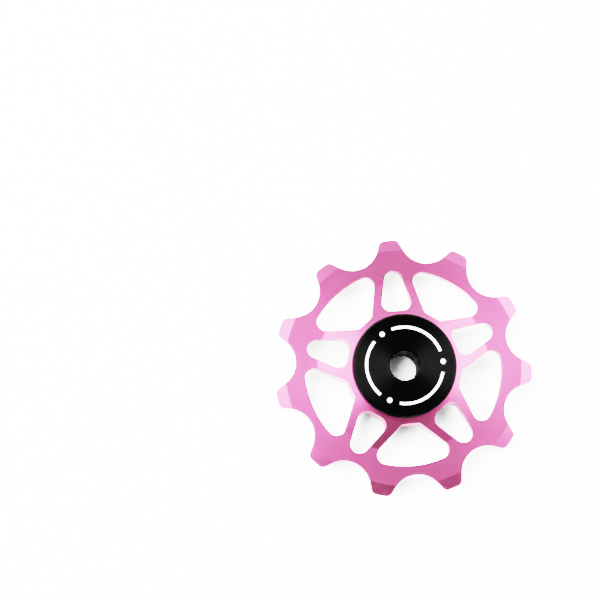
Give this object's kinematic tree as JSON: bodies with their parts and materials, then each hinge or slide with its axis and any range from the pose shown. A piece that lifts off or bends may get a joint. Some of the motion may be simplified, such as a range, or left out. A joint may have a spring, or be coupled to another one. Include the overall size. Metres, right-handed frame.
{
  "type": "derailleur jockey wheel",
  "caption": "Toothed derailleur jockey wheel with bevelled teeth, a coned web of leaning spoke pairs, black dust caps and a sealed ball bearing that lets it spin on its axle bolt.",
  "frame": {"origin": "centre of the axle bore, in the wheel's middle plane", "axes": "+Z along the axle bore, out of the front dust cap; +Y through one tooth and one narrow pocket"},
  "size_m": [0.0446, 0.0441, 0.008],
  "materials": {
    "pink_anodised": "satin pink anodised, turned",
    "black_anodised": "satin black anodised, turned",
    "bearing_steel": "ground bearing steel",
    "ball_ceramic": "polished dark ceramic",
    "cage_nylon": "moulded nylon",
    "seal_rubber": "matt moulded rubber"
  },
  "bodies": {
    "axle_core": {"front_dust_cap": "black_anodised", "rear_dust_cap": "black_anodised", "bearing_inner_ring": "bearing_steel"},
    "wheel": {"toothed_wheel": "pink_anodised", "bearing_outer_ring": "bearing_steel", "front_bearing_seal": "seal_rubber", "rear_bearing_seal": "seal_rubber"},
    "ball_train": {"ball_cage": "cage_nylon", "ceramic_ball_1": "ball_ceramic", "ceramic_ball_2": "ball_ceramic", "ceramic_ball_3": "ball_ceramic", "ceramic_ball_4": "ball_ceramic", "ceramic_ball_5": "ball_ceramic", "ceramic_ball_6": "ball_ceramic", "ceramic_ball_7": "ball_ceramic", "ceramic_ball_8": "ball_ceramic", "ceramic_ball_9": "ball_ceramic", "ceramic_ball_10": "ball_ceramic"}
  },
  "joints": [
    {"name": "wheel_spin", "type": "hinge", "parent": "axle_core", "child": "wheel", "pos_m": [0, 0, 0], "axis": [0, 0, 1], "continuous": true},
    {"name": "cage_spin", "type": "hinge", "parent": "axle_core", "child": "ball_train", "pos_m": [0, 0, 0], "axis": [0, 0, 1], "continuous": true}
  ],
  "couplings": [
    {"joint": "cage_spin", "follows": "wheel_spin", "ratio": 0.58333}
  ]
}
